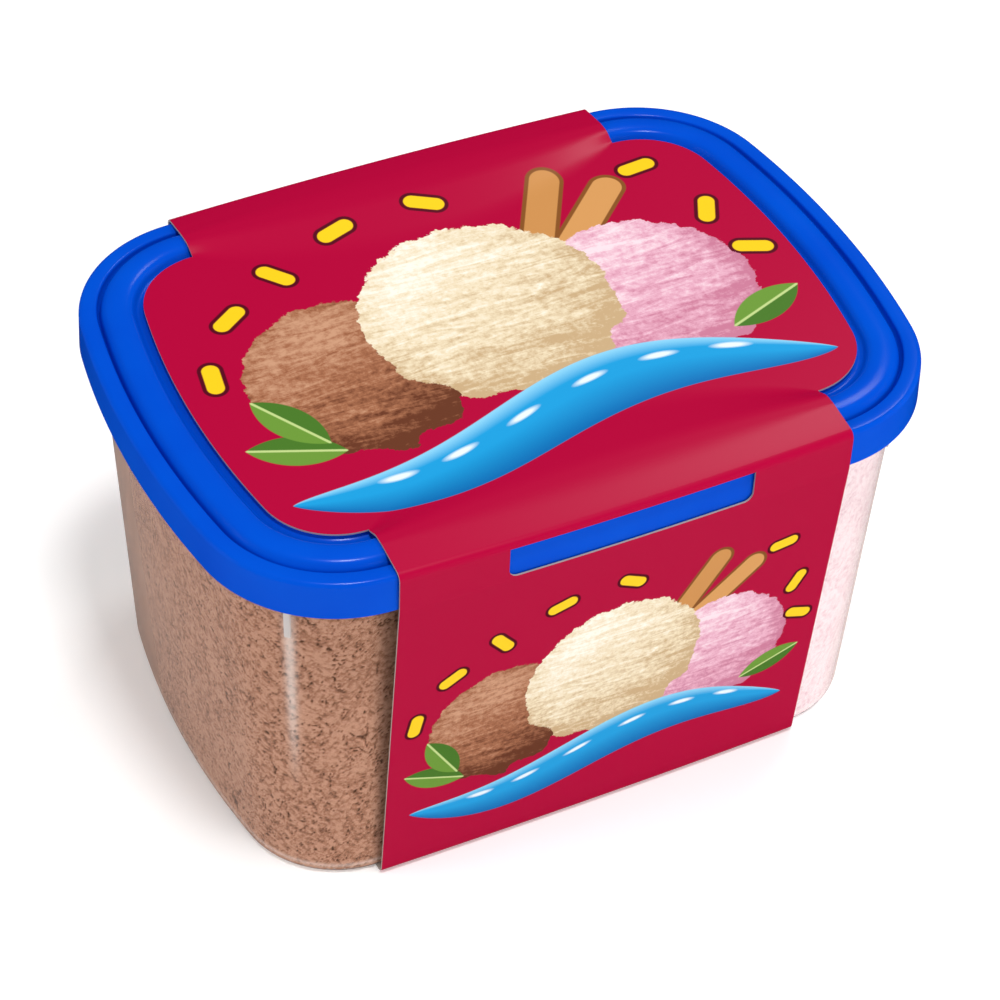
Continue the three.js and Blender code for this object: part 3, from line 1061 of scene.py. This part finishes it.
@dataclass
class Tub:
    """The clear tub: tapering walls, a rounded foot, a rim under the lid and four stacking ribs."""

    flange_inset: float = 2.0
    flange_bevel: float = 0.6
    rib_width: float = 1.6
    rib_depth: float = 1.6
    rib_proud: float = 0.8
    rib_bottom: float = 88.2
    rib_top: float = 103.6
    rib_round: float = 0.25
    rib_slack: float = 0.1
    skin_proud: float = 0.04
    foot_steps: int = 10
    finish: ClearTubPlastic = field(default_factory=ClearTubPlastic)
    rib_finish: FrostedRibPlastic = field(default_factory=FrostedRibPlastic)

    def outer_profile(self) -> list[Ring]:
        """Draws the tub's outside.

        Returns:
            Inset and level of each terrace, from the rim down to the base.
        """
        bevel, flange = self.flange_bevel, LEVELS.flange
        rim = [(self.flange_inset, LEVELS.rim - bevel), (self.flange_inset + NUDGE, flange + bevel)]
        under = [(self.flange_inset + bevel, flange), (LEVELS.wall_inset(flange), flange - NUDGE)]
        return [*rim, *under, *reversed(LEVELS.foot_rounds(0.0, self.foot_steps))]

    def inner_profile(self) -> list[Ring]:
        """Draws the tub's inside.

        Returns:
            Inset and level of each terrace, from the rim down to the floor.
        """
        wall, rim, bevel = LEVELS.tub_wall, LEVELS.rim, self.flange_bevel
        lip = LEVELS.wall_inset(rim, wall)
        top = [(self.flange_inset + bevel, rim), (lip - bevel, rim), (lip, rim - bevel)]
        return [*top, *reversed(LEVELS.foot_rounds(wall, self.foot_steps))]

    def add_rib(self, side_x: float, side_y: float) -> Bench:
        """Models one stacking rib on a corner's diagonal.

        Args:
            side_x: The sign of the corner's X.
            side_y: The sign of the corner's Y.

        Returns:
            The rib in its place.
        """
        rib = Bench("stacking_rib", bpy.ops.mesh.primitive_cube_add, size=MM)
        rib.edit("EDGE")
        bpy.ops.mesh.select_all(action="SELECT")
        bpy.ops.transform.resize(value=(self.rib_depth, self.rib_width, self.rib_top - self.rib_bottom))
        bpy.ops.mesh.bevel(offset=self.rib_round * MM, segments=2, affect="EDGES")
        rib.close()
        middle = (self.rib_top + self.rib_bottom) / 2
        reach = OUTLINE.corner_radius - LEVELS.wall_inset(middle) + self.rib_proud - self.rib_depth / 2
        corner = OUTLINE.corner_centre
        lean = Matrix.Rotation(math.atan(LEVELS.wall_slope), 4, "Y")
        turn = Matrix.Rotation(math.atan2(side_y, side_x), 4, "Z")
        foot = Matrix.Translation(Vector((side_x * corner.x, side_y * corner.y, 0)) * MM)
        out = Matrix.Translation(Vector((reach, 0, middle)) * MM)
        rib.mesh.transform(foot @ turn @ out @ lean)
        return rib

    def build(self) -> Bench:
        """Models the shell, then joins the ribs to its corners.

        Returns:
            The tub.
        """
        tub = terraces("tub_shell", self.outer_profile(), Facing.DOWN)
        bridge_rims(tub, terraces("tub_inside", self.inner_profile(), Facing.UP))
        for side_x, side_y in ((1, 1), (-1, 1), (-1, -1), (1, -1)):
            tub.cut_with(self.add_rib(side_x, side_y), "UNION")
        tub.smooth(Crease.MOULDED)
        tub.object.visible_shadow = False  # Clear plastic lets the light through to the filling.
        return tub

    def on_rib(self, centre: Vector) -> bool:
        """Says whether a face stands on a rib.

        Args:
            centre: The face's centre, in metres.

        Returns:
            Whether it does.
        """
        x, y, z = abs(centre.x) / MM, abs(centre.y) / MM, centre.z / MM
        corner = OUTLINE.corner_centre
        reach = math.hypot(x - corner.x, y - corner.y)
        proud = reach - (OUTLINE.corner_radius - LEVELS.wall_inset(z))
        across = abs((x - corner.x) - (y - corner.y)) / math.sqrt(2)
        level = self.rib_bottom - self.rib_slack < z < self.rib_top + self.rib_slack
        return level and across < self.rib_width and proud > self.skin_proud

    def dress(self, tub: Bench) -> None:
        """Gives the shell its clear finish and the ribs their milky one.

        Args:
            tub: The shell with its ribs.
        """
        tub.mesh.materials.append(self.finish.material())
        tub.mesh.materials.append(self.rib_finish.material())
        for face in tub.mesh.polygons:
            face.material_index = int(self.on_rib(face.center))


class CardFace(Enum):
    """The card's material slots."""

    PRINT = 0
    CUT_EDGE = 1
    INNER = 2


@dataclass
class Sleeve:
    """The card band: folded round the pack, with round lobes on its top panel and a slot at each fold."""

    width: float = 118.2
    columns: int = 56
    arc_steps: int = 7
    foot_y: float = 62.5
    foot_bow: float = 0.6
    lobe_inset: float = 16.3
    rise_inset: float = 15.7
    crown_inner: float = 12.6
    crown_outer: float = 9.4
    edge_rounds: tuple[float, ...] = (2.4, 3.0, 4.0, 1.8, 3.0, 2.0)
    middle_rounds: tuple[float, ...] = (60.0, 40.0, 50.0, 1.8, 3.0, 2.0)
    middle_rise: float = 16.0
    middle_crown: float = 4.0
    straight_steps: tuple[int, ...] = (2, 3, 2, 5, 24, 12)
    slot_width: float = 64.0
    slot_bottom: float = 102.0
    slot_top: float = 110.9
    slot_radius: float = 2.4
    slot_reach: float = 12.0
    slot_steps: int = 8
    lobe_steps: tuple[int, int] = (10, 28)
    lobe_row_gap: float = 0.002
    finish: PrintedCarton = field(default_factory=PrintedCarton)
    edge_finish: BareBoard = BareBoard("carton_cut_edge", "#B9AEA8")
    inner_finish: BareBoard = BareBoard("carton_inner_face", "#D8D2CA")

    def ease(self, x: float) -> float:
        """How freely the card springs over the lid's bead: 1 in its middle, 0 at its cut ends."""
        return 1 - (2 * x / self.width) ** 2

    def corners(self, x: float) -> list[Vector]:
        """Finds the card's inner corners across the back half.

        Args:
            x: The place along the tub.

        Returns:
            Y and Z of each corner, from the top panel down.
        """
        side, gap, ease = OUTLINE.half_width(x), LEVELS.gap, self.ease(x)
        places = (
            (side - self.rise_inset - self.middle_rise * ease, LEVELS.panel + gap),
            (side - self.crown_inner - self.middle_crown * ease, LEVELS.crown + gap),
            (side - self.crown_outer, LEVELS.crown + gap),
            (side + gap, LEVELS.ledge + gap),
            (side + gap, LEVELS.skirt_bottom),
            (self.foot_y - self.foot_bow * (1 - ease), LEVELS.card),
        )
        return [Vector(p) for p in places]

    def lobe_rows(self) -> list[float]:
        """Spaces rows across the top panel, closer together where the lobe's edge turns.

        Returns:
            Y of each row, from the middle outwards.
        """
        corner, radius = OUTLINE.corner_centre.y, OUTLINE.corner_radius - self.lobe_inset
        edge = OUTLINE.half_width(self.width / 2, self.lobe_inset)
        flat, turns = self.lobe_steps
        inner = [corner * i / flat for i in range(flat)]
        turning = [corner + radius * math.sin(math.pi / 2 * i / turns) for i in range(turns)]
        return [*inner, *(y for y in turning if y < edge - self.lobe_row_gap), edge]

    def half_section(self, x: float) -> list[tuple[float, float]]:
        """Draws the card's outer face across the back half, with its folds rounded.

        Args:
            x: The place along the tub.

        Returns:
            Y and Z of each point, from the top panel's middle down to the underside's middle.
        """
        corners = self.corners(x)
        path = [Vector((0, corners[0].y)), *corners, Vector((0, LEVELS.card))]
        arcs = []
        rounds = [a + (b - a) * self.ease(x) for a, b in zip(self.edge_rounds, self.middle_rounds)]
        for i, radius in enumerate(rounds, start=1):
            into, out = (path[i] - path[i - 1]).normalized(), (path[i + 1] - path[i]).normalized()
            turn = math.atan2(into.x * out.y - into.y * out.x, into.dot(out))
            bulge = -math.copysign(1.0, turn)
            normal = Vector((-into.y, into.x))
            start = path[i] - into * radius * math.tan(abs(turn) / 2)
            centre = start - normal * bulge * radius
            arm = normal * (bulge * radius + LEVELS.card)
            steps = (Matrix.Rotation(turn * k / self.arc_steps, 2) for k in range(self.arc_steps + 1))
            arcs.append([centre + step @ arm for step in steps])
        rows = self.lobe_rows()
        flat = min(arcs[0][0].x, OUTLINE.half_width(x, self.lobe_inset)) / rows[-1]
        points = [(y * flat, arcs[0][0].y) for y in rows]
        ends = [*(a[0] for a in arcs[1:]), Vector((0, 0))]
        for arc, end, steps in zip(arcs, ends, self.straight_steps):
            points += [(p.x, p.y) for p in arc]
            points += [tuple(arc[-1].lerp(end, k / steps)) for k in range(1, steps)]
        return [*points, (0.0, 0.0)]

    def fold_blank(self) -> Bench:
        """Adds the flat card as a grid and folds it round the pack.

        Returns:
            The folded card, without thickness.
        """
        xs = [self.width * (i / self.columns - 0.5) for i in range(self.columns + 1)]
        loops = []
        for x in xs:
            half = self.half_section(x)
            loops.append([*((-y, z) for y, z in reversed(half)), *half[1:]])
        rows = len(loops[0])
        card = Bench("card_sleeve", bpy.ops.mesh.primitive_grid_add, x_subdivisions=self.columns,
                     y_subdivisions=rows - 1)
        card.place((x, *loop[row]) for row in range(rows) for x, loop in zip(xs, loops))
        card.merge()
        return card

    def draw_lobes(self, card: Bench) -> None:
        """Extrudes the top panel's ends outwards into round lobes.

        Args:
            card: The folded card.
        """
        edge_x = self.width / 2
        reach_y = self.lobe_rows()[-1] + NUDGE

        def on_edge(vertex: bmesh.types.BMVert, side: End) -> bool:
            """Says whether a vertex lies on the top panel's end."""
            x, y, z = vertex.co / MM
            return abs(x - side.value * edge_x) < NUDGE and abs(y) < reach_y and z > LEVELS.panel

        for side in End:
            card.edit("EDGE")
            card.pick(lambda e: all(on_edge(v, side) for v in e.verts), "edges")
            bpy.ops.mesh.extrude_edges_move(TRANSFORM_OT_translate={"value": (side.value * MM, 0, 0)})
            work = bmesh.from_edit_mesh(card.mesh)
            for vertex in (v for v in work.verts if v.select):
                reach = OUTLINE.end_reach(vertex.co.y / MM, self.lobe_inset)
                vertex.co.x = side.value * max(reach, edge_x) * MM
            bmesh.update_edit_mesh(card.mesh)
            card.close()
        card.merge()

    def slot_cutter(self, side: float) -> Bench:
        """Models the tool that punches one slot, with its lower corners rounded.

        Args:
            side: The sign of the fold's Y.

        Returns:
            The cutter in its place.
        """
        def at_lower_corner(edge: bmesh.types.BMEdge) -> bool:
            """Says whether an edge runs through the card at the slot's foot."""
            a, b = (vertex.co for vertex in edge.verts)
            return max(a.z, b.z) < 0 and a.y * b.y < 0

        cutter = Bench("slot_cutter", bpy.ops.mesh.primitive_cube_add, size=MM)
        height = self.slot_top - self.slot_bottom
        cutter.edit("EDGE")
        bpy.ops.mesh.select_all(action="SELECT")
        bpy.ops.transform.resize(value=(self.slot_width, self.slot_reach, height))
        cutter.pick(at_lower_corner, "edges")
        bpy.ops.mesh.bevel(offset=self.slot_radius * MM, segments=self.slot_steps, affect="EDGES")
        bpy.ops.mesh.select_all(action="SELECT")
        middle = Vector((0, side * OUTLINE.width / 2, (self.slot_top + self.slot_bottom) / 2))
        bpy.ops.transform.translate(value=middle * MM)
        cutter.close()
        for _ in CardFace:
            cutter.mesh.materials.append(None)
        for face in cutter.mesh.polygons:
            face.material_index = CardFace.CUT_EDGE.value
        return cutter

    def build(self) -> Bench:
        """Folds the blank, thickens it to the card and punches its slots.

        Returns:
            The sleeve.
        """
        card = self.fold_blank()
        self.draw_lobes(card)
        card.face_out()
        for _ in CardFace:
            card.mesh.materials.append(None)
        card.apply("SOLIDIFY", thickness=LEVELS.card * MM, offset=-1, use_even_offset=True,
                   material_offset=CardFace.INNER.value, material_offset_rim=CardFace.CUT_EDGE.value)
        for side in (-1, 1):
            card.cut_with(self.slot_cutter(side), "DIFFERENCE")
        card.smooth(Crease.FOLDED_CARD)
        return card

    def dress(self, card: Bench) -> None:
        """Gives the card its print, its bare cut edges and its bare inner face.

        Args:
            card: The sleeve.
        """
        finishes = (self.finish, self.edge_finish, self.inner_finish)
        for face, finish in zip(CardFace, finishes):
            card.mesh.materials[face.value] = finish.material()


@dataclass
class EndFlavour:
    """Ice cream that fills one end of the tub and shows through its wall, pits and all."""

    name: str
    end: End
    finish: IceCream
    seed: float
    sponge: float
    tear_low: float
    pit_depth: float = 0.45
    skin_depth: float = 0.4
    # Painted highlight: a pale streak below each rib, fading out downwards, and a pale ring near the foot.
    highlight_fade_foot: float = 28.0
    highlight_fade_top: float = 72.0
    highlight_streak_width: float = 1.7
    highlight_ring: float = 3.4
    highlight_ring_width: float = 0.7
    highlight_ring_share: float = 0.6
    cut_x: float = 30.0
    fine_to_x: float = 56.0
    fine_step: float = 0.52
    coarse_step: float = 4.0
    floor_band: float = 3.0
    lean: float = 1.1
    lean_per_mm: float = -0.0065
    lean_swing: float = 0.7
    swirl_mm: float = 15.0
    streak_mm: Ring = (3.2, 1.4)
    crumb_mm: float = 1.7
    calm_mm: float = 9.0
    tear_mm: Ring = (6.0, 1.9)
    tear_soft: float = 0.2
    calm_share: float = 0.4
    calm_range: Ring = (-0.5, -0.2)
    sponge_range: Ring = (0.1, 1.1)
    sponge_mix: tuple[float, float, float] = (0.5, 0.8, 0.5)
    layer_gap: float = 4.0
    foot_steps: int = 24
    cut_slack: float = 0.2

    @property
    def middle_way(self) -> float:
        """The way round to the middle of this end."""
        return 0.0 if self.end is End.RIGHT else OUTLINE.round_length / 2

    def ways(self) -> list[float]:
        """Spaces the columns: fine where the wall shows, coarse behind the sleeve.

        Returns:
            The way round to each column.
        """
        middle, reach, half = self.middle_way, 0.0, [0.0]
        while True:
            x = abs(OUTLINE.at(middle + reach)[0])
            if x <= self.cut_x + self.cut_slack:
                break
            reach += self.fine_step if x > self.fine_to_x else self.coarse_step
            half.append(reach)
        return [middle - w for w in reversed(half[1:])] + [middle + w for w in half]

    def profile(self) -> list[tuple[float, float, float, float]]:
        """Steps from the floor round the foot and up the wall.

        Returns:
            Inset, level, and the outward normal's share along the plan and along Z, of each row.
        """
        depth = self.skin_depth
        foot = LEVELS.foot_rounds(depth, self.foot_steps)
        floor_z = foot[0][1]
        top = LEVELS.fill
        knots = [(foot[0][0] + self.floor_band, floor_z), *foot, (LEVELS.wall_inset(top, depth), top)]
        lengths = [math.dist(a, b) for a, b in pairwise(knots)]
        total = sum(lengths)
        count = round(total / self.fine_step)
        rows = []
        for i in range(count + 1):
            way = total * i / count
            k = 0
            while k < len(lengths) - 1 and way > lengths[k]:
                way -= lengths[k]
                k += 1
            a, b = Vector(knots[k]), Vector(knots[k + 1])
            p = a.lerp(b, min(way / lengths[k], 1.0))
            step = (b - a).normalized()
            rows.append((p.x, p.y, step.y, step.x))
        return rows

    def pit(self, way: float, rise: float) -> float:
        """How deep a torn air pit is at a place on the unrolled wall, from 0 to 1.

        Args:
            way: The way round, in millimetres.
            rise: The way up, in millimetres.

        Returns:
            The pit's share of its full depth.
        """
        def wave(u: float, v: float, layer: int) -> float:
            """One layer of smooth noise."""
            return noise.noise(Vector((u, v, self.seed + self.layer_gap * layer)))

        swirl = wave(way / self.swirl_mm, rise / self.swirl_mm, 0)
        lean = self.lean + self.lean_per_mm * abs(way - self.middle_way) + self.lean_swing * swirl
        along = way * math.cos(lean) - rise * math.sin(lean)
        across = way * math.sin(lean) + rise * math.cos(lean)
        streak = wave(along / self.streak_mm[0], across / self.streak_mm[1], 1)
        crumb = wave(way / self.crumb_mm, rise / self.crumb_mm, 2)
        still = smoothstep(*self.calm_range, wave(way / self.calm_mm, rise / self.calm_mm, 3))
        calm = self.calm_share + (1 - self.calm_share) * still
        tear = wave(along / self.tear_mm[0], across / self.tear_mm[1], 4)
        base, streaks, crumbs = self.sponge_mix
        sponge = calm * smoothstep(*self.sponge_range, base + streaks * streak + crumbs * crumb)
        return max(self.sponge * sponge, smoothstep(self.tear_low, self.tear_low + self.tear_soft, tear))

    def painted_highlight(self, way: float, level: float) -> float:
        """How strong the painted highlight is: a pale streak below a stacking rib and a ring near the tub's
        foot, from 0 to 1.

        Args:
            way: The way round, in millimetres.
            level: The height, in millimetres.

        Returns:
            The painted highlight's share.
        """
        off = abs(abs(way - self.middle_way) - OUTLINE.corner_way)
        fade = smoothstep(self.highlight_fade_foot, self.highlight_fade_top, level)
        foot = math.exp(-(((level - self.highlight_ring) / self.highlight_ring_width) ** 2))
        return max(fade * math.exp(-((off / self.highlight_streak_width) ** 2)), self.highlight_ring_share * foot)

    def build(self) -> Bench:
        """Wraps a fine grid round the end, presses its pits in and closes it on the other sides.

        Returns:
            The block.
        """
        ways, rows = self.ways(), self.profile()
        places = [OUTLINE.at(w) for w in ways]
        block = Bench(self.name, bpy.ops.mesh.primitive_grid_add, x_subdivisions=len(ways) - 1,
                      y_subdivisions=len(rows) - 1)
        points, pits, painted_highlights = [], [], []
        for row, (inset, level, out, down) in enumerate(rows):
            ends_row = row in (0, len(rows) - 1)
            for way, (x, y, nx, ny) in zip(ways, places):
                pit = 0.0 if ends_row else self.pit(way, row * self.fine_step)
                sink = pit * self.pit_depth
                set_in = inset + sink * out
                points.append((x - nx * set_in, y - ny * set_in, level - sink * down))
                pits.append(pit)
                painted_highlights.append(self.painted_highlight(way, level))
        columns = len(ways)
        for row in range(len(rows)):
            for column in (0, columns - 1):
                index = row * columns + column
                points[index] = (self.end.value * self.cut_x, *points[index][1:])
        block.place(points)
        # The pit attribute also darkens the colour as painted shade; the other paints the highlight streak
        # and ring.
        for name, values in ((PIT, pits), (PAINTED_HIGHLIGHT, painted_highlights)):
            block.mesh.attributes.new(name, "FLOAT", "POINT").data.foreach_set("value", values)
        self.close_sides(block, columns, len(rows))
        block.smooth(Crease.FROZEN)
        return block

    def close_sides(self, block: Bench, columns: int, rows: int) -> None:
        """Fills the block's underside, top and cut face.

        Args:
            block: The wrapped grid.
            columns: How many columns the grid has.
            rows: How many rows it has.
        """
        last = rows - 1
        sides = (
            lambda i: i // columns == 0,
            lambda i: i // columns == last,
            lambda i: i % columns in (0, columns - 1),
        )
        block.edit("VERT")
        for side in sides:
            block.pick(lambda v: side(v.index))
            bpy.ops.mesh.edge_face_add()
        block.close()
        block.face_out()

    def dress(self, block: Bench) -> None:
        """Gives the block its finish."""
        block.mesh.materials.append(self.finish.material())


@dataclass
class MiddleFlavour:
    """Ice cream in the middle of the tub, behind the sleeve."""

    half_length: float = 29.85
    skin_depth: float = 0.28
    foot_steps: int = 6
    finish: IceCream = IceCream("vanilla", "#F7EFD2", "#EBDDB0", "#CDBB85")

    def build(self) -> Bench:
        """Terraces the whole filling down from its top and bisects its middle out.

        Returns:
            The block.
        """
        rows = [(LEVELS.wall_inset(LEVELS.fill, self.skin_depth), LEVELS.fill)]
        rows += reversed(LEVELS.foot_rounds(self.skin_depth, self.foot_steps))
        block = terraces("vanilla_block", rows, Facing.DOWN)
        block.edit("EDGE")
        block.pick(lambda e: e.is_boundary, "edges")
        bpy.ops.mesh.edge_face_add()
        for side in End:
            bpy.ops.mesh.select_all(action="SELECT")
            cut = (side.value * self.half_length * MM, 0, 0)
            bpy.ops.mesh.bisect(plane_co=cut, plane_no=(side.value, 0, 0), use_fill=True, clear_outer=True)
        block.close()
        block.face_out()
        count = len(block.mesh.vertices)
        block.mesh.attributes.new(PIT, "FLOAT", "POINT").data.foreach_set("value", [0.0] * count)
        block.smooth(Crease.FROZEN)
        return block

    def dress(self, block: Bench) -> None:
        """Gives the block its finish."""
        block.mesh.materials.append(self.finish.material())


@dataclass(frozen=True)
class Softbox:
    """One soft light: its place and size in metres, its power in watts, and whether gloss mirrors it."""

    name: str
    place: tuple[float, float, float]
    size: tuple[float, float]
    power: float
    mirrored: bool = False


@dataclass
class Studio:
    """A pale floor, soft white light from all round and above, and the camera."""

    floor_size: float = 16.0
    floor_sweep: tuple[float, float, float] = (0.0, 0.4, 0.8)
    paper: str = "#F8F8F8"
    aim_z: float = 0.06
    lights: tuple[Softbox, ...] = (
        Softbox("back_softbox", (0.85, 0.55, 1.35), (0.45, 0.4), 4.5, mirrored=True),
        Softbox("top_softbox", (-0.05, -0.35, 1.65), (0.25, 0.25), 12.0, mirrored=True),
        Softbox("front_fill", (0.5, -1.8, 0.75), (1.2, 0.9), 12.5),
        Softbox("left_fill", (-1.8, 0.5, 0.75), (0.9, 0.9), 12.0),
        Softbox("right_fill", (1.4, -0.5, 0.5), (0.8, 0.8), 4.0),
    )
    camera_place: tuple[float, float, float] = (-0.26844, -0.51497, 0.60155)
    azimuth: float = -27.7417
    elevation: float = 43.4003
    roll: float = 2.6139
    lens: float = 111.435
    sensor: float = 36.0
    clip: Ring = (0.05, 20.0)
    sky: float = 0.3
    floor_glow: float = 0.2

    def lay_floor(self) -> None:
        """Adds the floor: a sheet of white studio paper, with its far edge swept up."""
        floor = Bench("studio_floor", bpy.ops.mesh.primitive_plane_add, size=self.floor_size)
        floor.edit("EDGE")
        floor.pick(lambda e: all(v.co.y > 0 for v in e.verts), "edges")
        bpy.ops.mesh.extrude_edges_move(TRANSFORM_OT_translate={"value": self.floor_sweep})
        floor.close()
        sheet = NodeSheet("white_studio_paper")
        sheet.set(Base_Color=linear(self.paper), Roughness=0.9, Specular_IOR_Level=0.1,
                  Emission_Color=linear("#FFFFFF"), Emission_Strength=self.floor_glow)
        floor.mesh.materials.append(sheet.material)
        floor.object.visible_glossy = False

    def hang_light(self, box: Softbox) -> None:
        """Hangs one soft light that looks at the pack.

        Args:
            box: The light's place, size and power.
        """
        bpy.ops.object.select_all(action="DESELECT")
        bpy.ops.object.light_add(type="AREA", location=box.place)
        light = bpy.context.object
        light.name = light.data.name = box.name
        light.data.shape = "RECTANGLE"
        light.data.size, light.data.size_y = box.size
        light.data.energy = box.power
        light.visible_glossy = box.mirrored
        aim = Vector((0, 0, self.aim_z)) - Vector(box.place)
        light.rotation_euler = aim.to_track_quat("-Z", "Y").to_euler()

    def light_up(self) -> None:
        """Sets the white surround and hangs the lights."""
        world = bpy.data.worlds.new("white_tent")
        bpy.context.scene.world = world
        world.use_nodes = True
        background = next(n for n in world.node_tree.nodes if n.type == "BACKGROUND")
        background.inputs["Color"].default_value = (1, 1, 1, 1)
        background.inputs["Strength"].default_value = self.sky
        world.cycles_visibility.glossy = False  # Gloss mirrors the softboxes alone.
        for box in self.lights:
            self.hang_light(box)
        bpy.context.scene.view_settings.view_transform = "Standard"

    def set_camera(self) -> None:
        """Stands the camera at the photograph's view."""
        a, e, roll = (math.radians(v) for v in (self.azimuth, self.elevation, self.roll))
        back = Vector((math.sin(a) * math.cos(e), -math.cos(a) * math.cos(e), math.sin(e)))
        right = (-back).cross(Vector((0, 0, 1))).normalized()
        up = right.cross(-back)
        rolled_right = right * math.cos(roll) + up * math.sin(roll)
        rolled_up = up * math.cos(roll) - right * math.sin(roll)
        turn = Matrix((rolled_right, rolled_up, back)).transposed().to_4x4()
        bpy.ops.object.select_all(action="DESELECT")
        bpy.ops.object.camera_add()
        camera = bpy.context.object
        camera.matrix_world = Matrix.Translation(self.camera_place) @ turn
        camera.data.lens = self.lens
        camera.data.sensor_width = self.sensor
        camera.data.clip_start, camera.data.clip_end = self.clip
        bpy.context.scene.camera = camera

    def build(self) -> None:
        """Sets up floor, light and camera."""
        self.lay_floor()
        self.light_up()
        self.set_camera()


def hand_over(bench: Bench, node: str) -> None:
    """Puts a finished piece on the part's body in place of its CAD node.

    Args:
        bench: The finished piece.
        node: The CAD node that it stands for.
    """
    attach(bench.object, BODY)
    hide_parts(node)
    LOG.info("%s: %d faces, for %s", bench.object.name, len(bench.mesh.polygons), node)


def main() -> None:
    """Builds the pieces in order, then the studio."""
    logging.basicConfig(level=logging.INFO, format="%(name)s: %(message)s")
    # Each flavour's last colour is the painted shade deep in its pits.
    chocolate = IceCream("chocolate", "#C2937A", "#A4735A", "#52301D")
    strawberry = IceCream("strawberry", "#F3E2E5", "#EBD3D8", "#D9B3BF")
    left = EndFlavour("chocolate_block", End.LEFT, chocolate, seed=2.0, sponge=0.62, tear_low=0.33)
    right = EndFlavour("strawberry_block", End.RIGHT, strawberry, seed=31.0, sponge=0.6, tear_low=0.5,
                       pit_depth=0.3)
    assemblies = (
        (left, "ice_cream_chocolate", "chocolate"),
        (right, "ice_cream_strawberry", "strawberry"),
        (MiddleFlavour(), "ice_cream_vanilla", "vanilla"),
        (Tub(), "tub", "clear_tub"),
        (Lid(), "lid", "blue_lid"),
        (Sleeve(), "sleeve", "card_sleeve"),
    )
    for assembly, node, slot in assemblies:
        piece = assembly.build()
        assembly.dress(piece)
        hand_over(piece, node)
    Studio().build()


if __name__ == "__main__":
    main()
